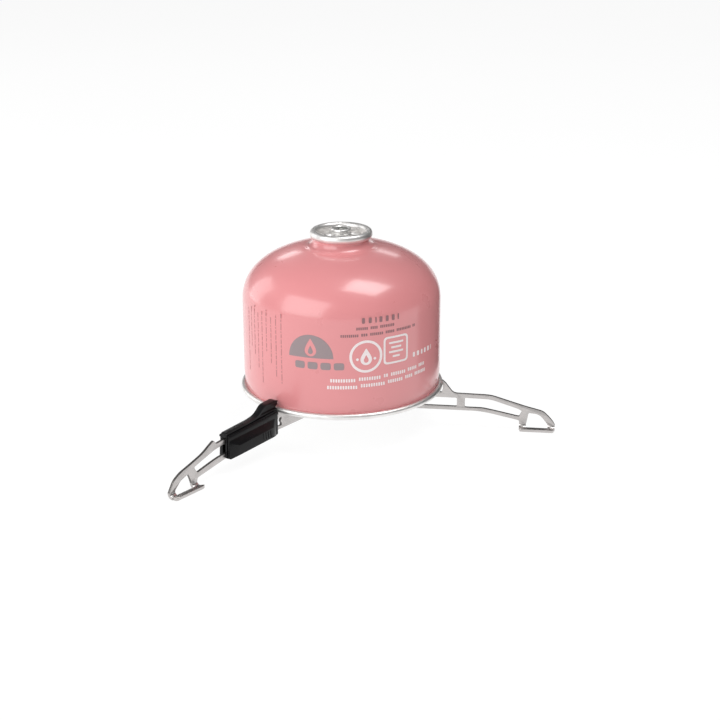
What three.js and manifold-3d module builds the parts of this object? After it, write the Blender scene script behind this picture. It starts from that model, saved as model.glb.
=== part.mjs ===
// Gas canister on a folding three-leg canister stand.
// Millimetres, +Z up. The stand's feet are on z = 0 and the fixed leg points along -Y.
import * as THREE from 'three';
import { mergeVertices } from 'three/addons/utils/BufferGeometryUtils.js';
import Module from 'manifold-3d';

const wasm = await Module();
wasm.setup();

// ---------- driving dimensions ----------
const GAP = 0.3; // free play between pieces that touch or slide
const SHEET = 1.5; // stainless sheet of the legs
const BEND_R = 1.5; // inside radius of the foot bend

// Canister
const BODY_R = 54;
const CHIME_R = 55.8;
const CHIME_Z = 22.5;
const CHIME_H = 3.2;
const DOME_START_Z = 71.3;
const DOME_RISE = 31.1;
const DOME_RUN = 55.8;
const DOME_POWER = 2.3;
const DOME_END = 0.4; // share of a half turn at which the fillet takes over
const WALL = 0.5;
const NECK_R = 15.5;
const NECK_FILLET = 2.4; // radius between dome and neck
const NECK_FILLET_Z = 103.57; // where that fillet meets the neck
const FILLET_START_DEG = 261; // direction from the fillet's centre to the dome
const TUCK = 0.75; // how far the body is drawn in to enter the rim
const CURL_Z = 108;
const CURL_R = 15.1;
const CURL_TUBE = 1.85;
const CUP_SHEET = 0.45;
const CUP_WELL_Z = 103.2; // floor of the well round the pedestal
const PEDESTAL_R = 5.55;
const PEDESTAL_TOP = 110.8;
const THREAD_PITCH = 0.907;
const THREAD_DEPTH = 0.35;
const THREADS = 4;
const VALVE_STROKE = 2;

// Stand
const LEG_TOP = 19.1;
const FOLDING_REACH = 118.3;
const FIXED_REACH = 137.4;
const FOLDING_AZIMUTH = 30;
const REAR_AZIMUTH = 150;
const FIXED_AZIMUTH = -90;
const FIXED_OFFSET = -1.7;
const FOLDING_OFFSET = -1.1;
const SEAT_Z = CHIME_Z - CHIME_H / 2 - GAP;
const SEAT_OUTER = CHIME_R - 1.3;
const FOOT_WIDTH = 5.1;
const FOOT_BEND_Z = SHEET + BEND_R;

// Hub: three flat eyes, one under another, on one rivet
const EYE_R = 6.5;
const EYE_REACH = 17.5;
const EYE_WIDTH = 5.5;
const WASHER_H = 0.6;
const EYE_STEP = SHEET + WASHER_H + 2 * GAP;
const NECK_H = SHEET + 0.8;
const RIVET_R = 2;
const RIVET_HEAD_R = 4.2;
const RIVET_HEAD_H = 1.2;
const WASHER_R = 4.6;

// Sliding clamp, in from the end of its slot to the far stop
const CLAMP_IN = CHIME_R + 0.4;
const CLAMP_OUT = 96;
const SADDLE_HALF = 1.9;
const SLOT_HALF = SHEET / 2 + GAP;
const GRIP_BASE = 2.9;
const GRIP_FACE = 5.4;
const PIN_R = 1.5;
const PIN_HALF = 4.2;
const PIN_Z = 14.5;
const PIN_RHO = [64, 88];

// The pivot's place in plan, which centres the whole outline on the origin
const AXIS_X = -1.2;
const AXIS_Y = 36.8;

const ROUND = 56; // facets round the canister
const SMALL = 24; // facets round the small turned pieces

// ---------- materials ----------
function finish(color, metalness, roughness) {
  return new THREE.MeshStandardMaterial({ color, metalness, roughness });
}
const enamel = () => finish(0xdf8a8f, 0.25, 0.35);
const tinplate = () => finish(0xd2cfcc, 0.9, 0.3);
const stainless = () => finish(0xb9b4b1, 0.95, 0.35);
const blackNylon = () => finish(0x17171a, 0, 0.45);
const whiteAcetal = () => finish(0xe8e6e0, 0, 0.5);
const rubber = () => finish(0x1d1d1d, 0, 0.8);
const springSteel = () => finish(0x9a9a9c, 0.9, 0.35);

// ---------- solid helpers ----------
const X = new THREE.Vector3(1, 0, 0);
const Y = new THREE.Vector3(0, 1, 0);
const Z = new THREE.Vector3(0, 0, 1);
// A profile drawn along the leg and upwards, its thickness across the leg
const UPRIGHT = new THREE.Matrix4().makeBasis(X, Z, Y.clone().negate());
// A profile drawn across the leg and upwards, its length along the leg
const ACROSS = new THREE.Matrix4().makeBasis(Y, Z, X);

function toSolid(geometry) {
  const plain = geometry.index ? geometry.toNonIndexed() : geometry.clone();
  for (const name of Object.keys(plain.attributes)) {
    if (name !== 'position') plain.deleteAttribute(name);
  }
  const merged = mergeVertices(plain, 1e-4);
  return new wasm.Manifold(new wasm.Mesh({
    numProp: 3,
    vertProperties: new Float32Array(merged.attributes.position.array),
    triVerts: new Uint32Array(merged.index.array),
  }));
}

function toGeometry(solid) {
  const mesh = solid.getMesh();
  const geometry = new THREE.BufferGeometry();
  geometry.setAttribute('position', new THREE.BufferAttribute(mesh.vertProperties, mesh.numProp));
  geometry.setIndex(new THREE.BufferAttribute(mesh.triVerts, 1));
  return geometry;
}

// Adds one closed outline to a path. A corner is [x, y] or [x, y, fillet].
function trace(path, corners) {
  const count = corners.length;
  for (let i = 0; i < count; i += 1) {
    const here = new THREE.Vector2(corners[i][0], corners[i][1]);
    const before = new THREE.Vector2(...corners[(i + count - 1) % count].slice(0, 2));
    const after = new THREE.Vector2(...corners[(i + 1) % count].slice(0, 2));
    const fillet = corners[i][2] || 0;
    const reach = Math.min(fillet, here.distanceTo(before) * 0.45, here.distanceTo(after) * 0.45);
    const enter = here.clone().add(before.sub(here).setLength(reach || 1e-9));
    const leave = here.clone().add(after.sub(here).setLength(reach || 1e-9));
    if (i === 0) path.moveTo(enter.x, enter.y);
    else path.lineTo(enter.x, enter.y);
    if (reach > 0) path.quadraticCurveTo(here.x, here.y, leave.x, leave.y);
  }
  path.closePath();
  return path;
}

function outline(corners, holes = []) {
  const shape = trace(new THREE.Shape(), corners);
  for (const hole of holes) shape.holes.push(trace(new THREE.Path(), hole));
  return shape;
}

function extrude(shape, depth, curveSegments = 3) {
  return new THREE.ExtrudeGeometry(shape, { depth, bevelEnabled: false, curveSegments });
}

// A plate standing on edge between two distances across the leg
function uprightPlate(shape, from, to) {
  const geometry = extrude(shape, to - from);
  geometry.applyMatrix4(UPRIGHT);
  geometry.translate(0, to, 0);
  return toSolid(geometry);
}

// A bar of one section along the leg
function barAlong(shape, from, to) {
  const geometry = extrude(shape, to - from, 6);
  geometry.applyMatrix4(ACROSS);
  geometry.translate(from, 0, 0);
  return toSolid(geometry);
}

// A level plate between two heights
function levelPlate(shape, from, to) {
  const geometry = extrude(shape, to - from, 8);
  geometry.translate(0, 0, from);
  return toSolid(geometry);
}

// A round pin across the leg
function crossPin(radius, rho, z, from, to) {
  const circle = new THREE.Shape().absarc(rho, z, radius, 0, 2 * Math.PI);
  const geometry = extrude(circle, to - from, 6);
  geometry.applyMatrix4(UPRIGHT);
  geometry.translate(0, to, 0);
  return toSolid(geometry);
}

// A turned piece from radius and height pairs that close on themselves
function turned(profile, facets) {
  const points = profile.map(([r, z]) => new THREE.Vector2(r, z));
  if (THREE.ShapeUtils.area(points) < 0) points.reverse();
  points.push(points[0].clone());
  const geometry = new THREE.LatheGeometry(points, facets);
  geometry.rotateX(Math.PI / 2);
  return geometry;
}

// A turned piece whose profile starts and ends on the axis
function turnedSolid(profile, facets) {
  const points = profile.map(([r, z]) => new THREE.Vector2(r, z));
  const geometry = new THREE.LatheGeometry(points, facets);
  geometry.rotateX(Math.PI / 2);
  return geometry;
}

function arc(centre, radius, fromDeg, toDeg, steps) {
  const points = [];
  for (let i = 0; i <= steps; i += 1) {
    const angle = THREE.MathUtils.degToRad(fromDeg + ((toDeg - fromDeg) * i) / steps);
    points.push([centre[0] + radius * Math.cos(angle), centre[1] + radius * Math.sin(angle)]);
  }
  return points;
}

// ---------- canister ----------
// The dome is a quarter of a squared ellipse that ends in the neck's fillet
function domeLine(inset, steps) {
  const points = [];
  const centre = BODY_R - DOME_RUN;
  for (let i = 0; i <= steps; i += 1) {
    const angle = (i / steps) * Math.PI * DOME_END;
    const power = 2 / DOME_POWER;
    const r = centre + (DOME_RUN - inset) * Math.cos(angle) ** power;
    const z = DOME_START_Z + (DOME_RISE - inset) * Math.sin(angle) ** power;
    points.push([r, z]);
  }
  return points;
}

function canisterShell() {
  const lip = CURL_Z - 0.3;
  const filletCentre = [NECK_R + NECK_FILLET, NECK_FILLET_Z];
  const outside = [
    [BODY_R - TUCK, CHIME_Z - 0.7],
    [BODY_R - TUCK, CHIME_Z + 2.6],
    [BODY_R - 0.3, CHIME_Z + 5],
    [BODY_R, CHIME_Z + 8],
    ...domeLine(0, 10),
    ...arc(filletCentre, NECK_FILLET, FILLET_START_DEG, 180, 5),
    [NECK_R, lip],
  ];
  const inside = [
    [NECK_R - WALL, lip],
    ...arc(filletCentre, NECK_FILLET + WALL, 180, FILLET_START_DEG, 4),
    ...domeLine(WALL, 6).reverse(),
    [BODY_R - WALL, CHIME_Z + 8],
    [BODY_R - TUCK - WALL, CHIME_Z + 2.6],
    [BODY_R - TUCK - WALL, CHIME_Z - 0.7],
  ];
  return turned([...outside, ...inside], ROUND);
}

// Concave end whose rim is rolled over the body's lower edge
function bottomEnd() {
  const floor = CHIME_Z - CHIME_H / 2;
  const under = [[0, 34], [20, 32.3], [36, 28.1], [48.2, 23.6], [50.6, 23.4]];
  const over = under.map(([r, z]) => [r, z + WALL]).reverse();
  const rim = [
    [51.7, 24.2],
    [52.1, floor + 0.7],
    [52.8, floor],
    [CHIME_R - 1.1, floor],
    [CHIME_R - 0.2, floor + 0.7],
    [CHIME_R, CHIME_Z],
    [CHIME_R - 0.2, CHIME_Z + 0.9],
    [CHIME_R - 0.9, CHIME_Z + CHIME_H / 2],
    [BODY_R - TUCK + GAP, CHIME_Z + CHIME_H / 2 - 0.2],
    [BODY_R - TUCK + GAP, CHIME_Z - 1],
    [BODY_R - TUCK - WALL - GAP, CHIME_Z - 1],
    [BODY_R - TUCK - WALL - GAP, 25],
    [51.4, 24.6],
  ];
  return turnedSolid([...under, ...rim, ...over], ROUND);
}

// A ring of square section
function ring(inner, outer, from, to, facets) {
  return turned([[inner, from], [outer, from], [outer, to], [inner, to]], facets);
}

function seamCompound() {
  const r = BODY_R - TUCK;
  const inner = r + 0.08;
  return ring(inner, r + GAP - 0.08, CHIME_Z - 0.4, CHIME_Z + 1.2, ROUND);
}

// Mounting cup: curl over the neck, well, threaded pedestal with a crimped top
function valveCup() {
  const centre = [CURL_R, CURL_Z];
  const tube = CURL_TUBE - CUP_SHEET;
  const wellR = CURL_R - CURL_TUBE;
  const well = CUP_WELL_Z;
  const threads = [];
  for (let i = 0; i < THREADS; i += 1) {
    const z = well + 2.4 + i * THREAD_PITCH;
    threads.push([PEDESTAL_R, z]);
    threads.push([PEDESTAL_R - THREAD_DEPTH, z + THREAD_PITCH / 2]);
  }
  const crestTop = well + 2.4 + THREADS * THREAD_PITCH;
  const outside = [
    ...arc(centre, CURL_TUBE, -25, 180, 7),
    [wellR, well + 1.4],
    [wellR - 0.6, well + 0.5],
    [wellR - 1.5, well],
    [PEDESTAL_R + 1.6, well],
    [PEDESTAL_R + 0.5, well + 0.5],
    [PEDESTAL_R, well + 1.4],
    ...threads,
    [PEDESTAL_R, crestTop],
    [PEDESTAL_R, PEDESTAL_TOP - 0.7],
    [PEDESTAL_R - 0.2, PEDESTAL_TOP - 0.2],
    [PEDESTAL_R - 0.7, PEDESTAL_TOP],
    [2.4, PEDESTAL_TOP],
    [1.9, PEDESTAL_TOP - 0.3],
  ];
  const inside = [
    [1.9, PEDESTAL_TOP - CUP_SHEET],
    [PEDESTAL_R - 0.9, PEDESTAL_TOP - CUP_SHEET],
    [PEDESTAL_R - 0.8, well + 1],
    [PEDESTAL_R + 0.1, well - 0.1],
    [PEDESTAL_R + 1.4, well - CUP_SHEET],
    [wellR - 1.3, well - CUP_SHEET],
    [wellR - 0.2, well + 0.1],
    [wellR + CUP_SHEET, well + 1.2],
    ...arc(centre, tube, -180, -385, 5),
  ];
  return turned([...outside, ...inside], 30);
}

function cupGasket() {
  return ring(14.3, 15.6, CURL_Z + 0.08, CURL_Z + 0.6, 30);
}

const HOUSING_R = 4.3;
const HOUSING_BORE = 3.3;
const HOUSING_FLOOR = 97.8;
const GASKET_TOP = PEDESTAL_TOP - CUP_SHEET - 0.05;
const GASKET_BOTTOM = GASKET_TOP - 1.1;

function valveHousing() {
  return turned([
    [1, HOUSING_FLOOR - 1.2],
    [HOUSING_R - 1, HOUSING_FLOOR - 1.2],
    [HOUSING_R, HOUSING_FLOOR],
    [HOUSING_R, GASKET_BOTTOM - 0.05],
    [HOUSING_BORE, GASKET_BOTTOM - 0.05],
    [HOUSING_BORE, HOUSING_FLOOR],
    [1, HOUSING_FLOOR],
  ], SMALL);
}

function stemGasket() {
  return ring(1.75, HOUSING_R, GASKET_BOTTOM, GASKET_TOP, SMALL);
}

const SHOULDER_TOP = GASKET_BOTTOM - 0.15;
const SHOULDER_BOTTOM = SHOULDER_TOP - 1.6;

function valveStem() {
  return turnedSolid([
    [0, HOUSING_FLOOR + VALVE_STROKE + 1.2],
    [1.1, HOUSING_FLOOR + VALVE_STROKE + 1.2],
    [1.1, SHOULDER_BOTTOM],
    [2.8, SHOULDER_BOTTOM],
    [2.8, SHOULDER_TOP],
    [1.3, SHOULDER_TOP],
    [1.3, PEDESTAL_TOP - 0.9],
    [0, PEDESTAL_TOP - 0.9],
  ], SMALL);
}

function valveSpring() {
  const coilR = 2.1;
  const wireR = 0.28;
  const turns = 5;
  const bottom = HOUSING_FLOOR + wireR + 0.1;
  const top = SHOULDER_BOTTOM - wireR - 0.1;
  const points = [];
  for (let i = 0; i <= turns * 10; i += 1) {
    const angle = (i / 10) * 2 * Math.PI;
    const z = bottom + ((top - bottom) * i) / (turns * 10);
    points.push(new THREE.Vector3(coilR * Math.cos(angle), coilR * Math.sin(angle), z));
  }
  const section = new THREE.Shape();
  for (let i = 0; i < 6; i += 1) {
    const angle = (i / 6) * 2 * Math.PI;
    const x = wireR * Math.cos(angle);
    const y = wireR * Math.sin(angle);
    if (i === 0) section.moveTo(x, y);
    else section.lineTo(x, y);
  }
  return new THREE.ExtrudeGeometry(section, {
    steps: turns * 10,
    bevelEnabled: false,
    extrudePath: new THREE.CatmullRomCurve3(points),
  });
}

// ---------- legs ----------
// Foot: a level strip under the leg's end, carried by two rounded bends
function foot(side, offset, bends, strip) {
  const face = SHEET / 2;
  const centre = [face + BEND_R, FOOT_BEND_Z];
  const outer = arc(centre, BEND_R + SHEET, 180, 270, 5);
  const inner = arc(centre, BEND_R, 270, 180, 5);
  const joint = 0.2;
  const section = [
    [-face, FOOT_BEND_Z + joint],
    ...outer,
    [centre[0] + joint, 0],
    [centre[0] + joint, SHEET],
    ...inner,
    [face, FOOT_BEND_Z + joint],
  ].map(([t, z]) => [offset + side * t, z]);
  const level = strip.map(([rho, t, fillet]) => [rho, offset + side * t, fillet]);
  let solid = levelPlate(outline(level), 0, SHEET);
  for (const [from, to] of bends) solid = solid.add(barAlong(outline(section), from, to));
  return solid;
}

// Eye: the leg's neck is bent level and runs round the rivet
function eye(offset, top) {
  const edge = offset - SHEET / 2;
  const plate = outline([
    [0, -EYE_R],
    [5, edge - 1.8, 2],
    [8, edge],
    [EYE_REACH, edge],
    [EYE_REACH, EYE_WIDTH, 3],
    [9, EYE_WIDTH + 0.6, 4],
    [0, EYE_R],
    [-EYE_R * 0.62, EYE_R, 3],
    [-EYE_R, 0, 5],
    [-EYE_R * 0.62, -EYE_R, 3],
  ]);
  const hole = new THREE.Path().absarc(0, 0, RIVET_R + GAP, 0, 2 * Math.PI);
  plate.holes.push(hole);
  return levelPlate(plate, top - SHEET, top);
}

// Seat and hook that hold the canister's rolled rim
const seatLine = [
  [SEAT_OUTER - 8, LEG_TOP, 1],
  [SEAT_OUTER - 7, SEAT_Z, 0.6],
  [SEAT_OUTER, SEAT_Z, 0.3],
];

function foldingLeg(level) {
  const eyeTop = LEG_TOP - level * EYE_STEP;
  const neckBottom = eyeTop - NECK_H;
  const base = 9.3;
  const toe = [FOLDING_REACH - 3.9, FOLDING_REACH];
  const web = [98.7, 102.5];
  const shape = outline([
    [9, neckBottom],
    [9, eyeTop],
    [18.5, eyeTop, 1],
    [20.5, LEG_TOP, 1],
    ...seatLine,
    [SEAT_OUTER + 0.3, LEG_TOP + 0.3, 0.3],
    [CHIME_R - 0.1, LEG_TOP + 0.3, 0.3],
    [CHIME_R + 0.5, CHIME_Z - 1.1, 0.5],
    [CHIME_R + 0.5, CHIME_Z + 1.2, 0.3],
    [CHIME_R - 0.55, CHIME_Z + 2.3, 0.3],
    [CHIME_R - 0.6, CHIME_Z + 3.4, 0.4],
    [CHIME_R + 0.3, CHIME_Z + 4, 0.4],
    [CHIME_R + 2.1, CHIME_Z + 2.3, 0.8],
    [62.2, LEG_TOP, 2],
    [82.8, 18.8, 3],
    [101.9, 13.1, 2],
    [111.7, 10.7, 2],
    [114.7, 7.9, 1.5],
    [117.3, 4.9, 1.5],
    [toe[1], FOOT_BEND_Z],
    [toe[0], FOOT_BEND_Z],
    [113.9, 3.8, 0.6],
    [110.8, 7.7, 1.2],
    [108.3, 9.1, 1.2],
    [103.7, 9.5, 0.8],
    [103.2, 6, 2],
    [web[1], FOOT_BEND_Z],
    [web[0], FOOT_BEND_Z],
    [98.7, 4.9, 0.8],
    [83.3, 8.2, 4],
    [76, base, 3],
    [20.5, base, 1],
    [18.5, neckBottom, 1],
  ], [
    [[28, 11.5, 1.8], [64.2, 11.4, 0.8], [64.2, 16.5, 0.8], [28, 16.5, 1.8]],
    [
      [68.5, 11.1, 0.8],
      [78.3, 11.1, 2],
      [83.3, 10.2, 2],
      [98.6, 7.1, 0.7],
      [100.2, 10.4, 1],
      [98, 11.6, 1.5],
      [86.1, 15.4, 2],
      [82.2, 16.4, 2],
      [68.5, 16.7, 0.8],
    ],
  ]);
  const half = SHEET / 2;
  const blade = uprightPlate(shape, FOLDING_OFFSET - half, FOLDING_OFFSET + half);
  const strip = [
    [99.1, 2, 0.4],
    [99.1, FOOT_WIDTH, 1.2],
    [117.8, FOOT_WIDTH, 1.4],
    [117.8, 2, 0.4],
  ];
  return blade
    .add(eye(FOLDING_OFFSET, eyeTop))
    .add(foot(-1, FOLDING_OFFSET, [web, toe], strip));
}

// The fixed leg carries the clamp in a long slot that ends at a raised stop
function fixedLeg() {
  const base = 10.6;
  const toe = [FIXED_REACH - 4, FIXED_REACH];
  const web = [117.4, 121.2];
  const shape = outline([
    [9, LEG_TOP - NECK_H],
    [9, LEG_TOP],
    ...seatLine,
    [SEAT_OUTER + 0.5, LEG_TOP, 0.4],
    [97.3, 18.9, 4],
    [102.4, 18.4, 0.8],
    [103.9, 20.7, 0.5],
    [105.9, 19.9, 1],
    [112.5, 16.2, 3],
    [120.7, 13.7, 3],
    [129.1, 11.4, 2],
    [133.7, 8.8, 2],
    [135.8, 5.7, 1.5],
    [toe[1], FOOT_BEND_Z],
    [toe[0], FOOT_BEND_Z],
    [133.1, 3.8, 0.6],
    [129.3, 7.3, 1.2],
    [123.7, 9.1, 0.8],
    [122.2, 6, 2],
    [web[1], FOOT_BEND_Z],
    [web[0], FOOT_BEND_Z],
    [116.8, 4.8, 0.8],
    [106.9, 6.4, 4],
    [96.4, 8.1, 4],
    [75, base, 4],
    [20.5, base, 1],
    [18.5, LEG_TOP - NECK_H, 1],
  ], [
    [
      [51, 12.2, 0.8],
      [53.2, 12.6, 0.5],
      [75, 12.6, 4],
      [95.9, 11, 3],
      [102.8, 10.3, 3],
      [116.9, 7.5, 0.7],
      [119.3, 11.2, 1],
      [104.3, 15.5, 3],
      [98.2, 16.4, 3],
      [54, 16.7, 0.5],
      [51, 17.4, 0.8],
      [51, 16.1, 0.3],
      [51.8, 15.6, 0.3],
      [51.8, 14.4, 0.3],
      [51, 13.9, 0.3],
    ],
  ]);
  const half = SHEET / 2;
  const strip = [
    [115.6, 4.3, 0.6],
    [118.4, 2, 0.6],
    [136.9, 2, 0.4],
    [136.9, FOOT_WIDTH, 1.4],
    [117.4, FOOT_WIDTH, 1],
  ];
  return uprightPlate(shape, FIXED_OFFSET - half, FIXED_OFFSET + half)
    .add(eye(FIXED_OFFSET, LEG_TOP))
    .add(foot(1, FIXED_OFFSET, [web, toe], strip));
}

// ---------- hub ----------
const STACK_BOTTOM = LEG_TOP - 2 * EYE_STEP - SHEET;

function pivotRivet() {
  const low = STACK_BOTTOM - WASHER_H - 2 * GAP;
  const high = LEG_TOP + GAP;
  return turnedSolid([
    [0, low - RIVET_HEAD_H],
    [RIVET_HEAD_R - 1, low - RIVET_HEAD_H],
    [RIVET_HEAD_R, low - RIVET_HEAD_H * 0.45],
    [RIVET_HEAD_R, low],
    [RIVET_R, low],
    [RIVET_R, high],
    [RIVET_HEAD_R, high],
    [RIVET_HEAD_R - 0.4, high + RIVET_HEAD_H * 0.6],
    [RIVET_HEAD_R - 1.6, high + RIVET_HEAD_H],
    [0, high + RIVET_HEAD_H],
  ], SMALL);
}

function washer(belowEye) {
  const top = LEG_TOP - belowEye * EYE_STEP - SHEET - GAP;
  return ring(RIVET_R + GAP, WASHER_R, top - WASHER_H, top, SMALL);
}

// ---------- sliding clamp ----------
const clampLow = [[CLAMP_OUT - 1, 7.9], [60, 9.1, 3]];

function clampSaddle() {
  const shape = outline([
    ...clampLow,
    [CLAMP_IN, 9.4, 0.5],
    [CLAMP_IN, 24.6, 0.3],
    [54.6, 25.6, 0.3],
    [54.9, 27.9, 0.8],
    [57.2, 28.8, 1.5],
    [65.8, 28.4, 2],
    [70.6, 24.2, 2.5],
    [76, 23.1, 3],
    [CLAMP_OUT - 0.4, 22, 0.6],
    [CLAMP_OUT, 8.4, 0.5],
  ]);
  const slot = outline([[50, 0], [100, 0], [100, LEG_TOP + GAP], [50, LEG_TOP + GAP]]);
  let solid = uprightPlate(shape, -SADDLE_HALF, SADDLE_HALF);
  solid = solid.subtract(uprightPlate(slot, -SLOT_HALF, SLOT_HALF));
  for (const rho of PIN_RHO) {
    solid = solid.subtract(crossPin(PIN_R + GAP, rho, PIN_Z, -5, 5));
  }
  return solid;
}

function clampGrip(side) {
  const base = outline([
    ...clampLow,
    [CLAMP_IN + 0.4, 9.6, 0.5],
    [CLAMP_IN + 0.4, 22.6, 0.6],
    [58.9, 23, 1],
    [75.7, 21.6, 3],
    [CLAMP_OUT - 0.6, 20.8, 0.5],
    [CLAMP_OUT - 0.4, 8.4, 0.5],
  ]);
  const bossSide = outline([
    [58.6, 9.2, 0.8],
    [58.6, 18.6, 0.8],
    [CLAMP_OUT - 0.6, 17.4, 0.8],
    [CLAMP_OUT - 0.8, 8.1, 0.5],
  ]);
  const bossPlan = outline([
    [58.6, side * 2.5],
    [59.4, side * GRIP_FACE, 0.6],
    [89.5, side * GRIP_FACE, 0.8],
    [CLAMP_OUT - 0.7, side * (GRIP_BASE + 0.9)],
    [CLAMP_OUT - 0.7, side * 2.5],
  ]);
  const near = SADDLE_HALF + GAP;
  const plate = side > 0
    ? uprightPlate(base, near, GRIP_BASE)
    : uprightPlate(base, -GRIP_BASE, -near);
  const boss = levelPlate(bossPlan, 0, 30).intersect(uprightPlate(bossSide, -6, 6));
  let solid = plate.add(boss);
  for (const rho of PIN_RHO) {
    const blind = PIN_HALF + GAP;
    solid = solid.subtract(crossPin(PIN_R + GAP, rho, PIN_Z, -blind, blind));
  }
  return solid;
}

function clampPin(rho) {
  return crossPin(PIN_R, rho, PIN_Z, -PIN_HALF, PIN_HALF);
}

// ---------- assembly ----------
const object = new THREE.Group();
const onAxis = new THREE.Group();
onAxis.position.set(AXIS_X, AXIS_Y, 0);
object.add(onAxis);

function armAt(azimuth, offset) {
  const arm = new THREE.Group();
  arm.rotation.z = THREE.MathUtils.degToRad(azimuth);
  const blade = new THREE.Group();
  blade.position.y = offset;
  arm.add(blade);
  onAxis.add(arm);
  return blade;
}

function piece(parent, name, shape, material) {
  const geometry = shape instanceof THREE.BufferGeometry ? shape : toGeometry(shape);
  if (!geometry.attributes.normal) geometry.computeVertexNormals();
  const mesh = new THREE.Mesh(geometry, material);
  mesh.name = name;
  parent.add(mesh);
}

piece(onAxis, 'canister_shell', canisterShell(), enamel());
piece(onAxis, 'bottom_end', bottomEnd(), tinplate());
piece(onAxis, 'seam_compound', seamCompound(), rubber());
piece(onAxis, 'valve_cup', valveCup(), tinplate());
piece(onAxis, 'cup_gasket', cupGasket(), rubber());
piece(onAxis, 'valve_housing', valveHousing(), whiteAcetal());
piece(onAxis, 'stem_gasket', stemGasket(), rubber());
piece(onAxis, 'valve_stem', valveStem(), whiteAcetal());
piece(onAxis, 'valve_spring', valveSpring(), springSteel());
piece(onAxis, 'pivot_rivet', pivotRivet(), stainless());
piece(onAxis, 'washer_upper', washer(0), stainless());
piece(onAxis, 'washer_middle', washer(1), stainless());
piece(onAxis, 'washer_lower', washer(2), stainless());

piece(armAt(FIXED_AZIMUTH, 0), 'fixed_leg', fixedLeg(), stainless());
piece(armAt(FOLDING_AZIMUTH, 0), 'right_leg', foldingLeg(1), stainless());
piece(armAt(REAR_AZIMUTH, 0), 'rear_leg', foldingLeg(2), stainless());

const clamp = armAt(FIXED_AZIMUTH, FIXED_OFFSET);
piece(clamp, 'clamp_saddle', clampSaddle(), blackNylon());
piece(clamp, 'grip_right', clampGrip(1), blackNylon());
piece(clamp, 'grip_left', clampGrip(-1), blackNylon());
piece(clamp, 'clamp_pin_inner', clampPin(PIN_RHO[0]), stainless());
piece(clamp, 'clamp_pin_outer', clampPin(PIN_RHO[1]), stainless());

export default object;
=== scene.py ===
"""Visible surfaces of a gas canister held by a folding three-leg stand."""
import logging
import math
from dataclasses import dataclass, field
from enum import Enum
from typing import Callable, Iterable, Sequence

import bmesh
import bpy
from mathutils import Matrix, Vector


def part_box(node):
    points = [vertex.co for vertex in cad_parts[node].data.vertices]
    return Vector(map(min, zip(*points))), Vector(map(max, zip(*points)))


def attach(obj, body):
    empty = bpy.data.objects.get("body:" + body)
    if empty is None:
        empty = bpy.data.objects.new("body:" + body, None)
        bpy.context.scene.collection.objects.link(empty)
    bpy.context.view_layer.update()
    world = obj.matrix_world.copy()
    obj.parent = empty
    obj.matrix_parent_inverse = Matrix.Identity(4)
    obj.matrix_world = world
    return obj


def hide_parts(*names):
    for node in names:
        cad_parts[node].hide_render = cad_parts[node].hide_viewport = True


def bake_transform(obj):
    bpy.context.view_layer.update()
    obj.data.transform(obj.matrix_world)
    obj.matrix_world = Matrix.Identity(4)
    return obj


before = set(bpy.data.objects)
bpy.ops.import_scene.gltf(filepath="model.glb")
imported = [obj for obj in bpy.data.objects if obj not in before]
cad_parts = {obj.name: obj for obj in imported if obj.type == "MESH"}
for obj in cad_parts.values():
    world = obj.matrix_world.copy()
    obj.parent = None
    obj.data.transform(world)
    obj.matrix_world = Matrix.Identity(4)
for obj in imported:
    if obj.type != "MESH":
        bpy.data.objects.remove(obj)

LOG = logging.getLogger("canister_on_stand")
MM = 0.001
STAND_BODY = "stand_and_canister"
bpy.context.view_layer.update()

Point = tuple[float, float]
Corner = tuple[float, ...]


# ---------------------------------------------------------------- measures
class Axis:
    """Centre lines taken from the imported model."""

    @staticmethod
    def canister() -> Vector:
        """Returns the point on the ground under the canister's centre line."""
        low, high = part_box("bottom_end")
        return Vector(((low.x + high.x) / 2, (low.y + high.y) / 2, 0.0))


# ---------------------------------------------------------------- node sheets
class Step(Enum):
    """Arithmetic steps."""

    ANGLE = "ARCTAN2"
    TIMES = "MULTIPLY"


class VectorStep(Enum):
    """Steps of vector arithmetic."""

    LESS = "SUBTRACT"
    TIMES = "MULTIPLY"
    LENGTH = "LENGTH"


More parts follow.
